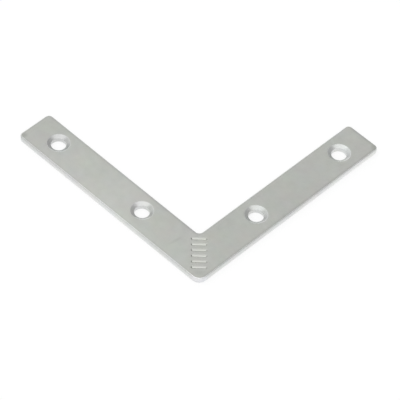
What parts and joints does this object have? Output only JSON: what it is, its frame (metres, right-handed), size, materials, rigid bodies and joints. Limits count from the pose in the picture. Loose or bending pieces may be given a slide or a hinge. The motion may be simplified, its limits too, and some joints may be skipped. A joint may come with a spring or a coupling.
{
  "type": "flat corner brace",
  "caption": "Flat L-shaped corner brace blanked from steel sheet, with equal arms, rounded corners and countersunk screw holes.",
  "frame": {"origin": "where the centre lines of the two arms cross, on the back face", "axes": "+X and +Y along the arms, towards their ends; +Z out of the face that the countersinks open at"},
  "size_m": [0.075, 0.075, 0.002],
  "materials": {
    "plated_steel": "satin zinc plating, pale grey with faint cloudy patches, and brighter rolled edges"
  },
  "bodies": {
    "root": {"corner_plate": "plated_steel"}
  },
  "joints": []
}
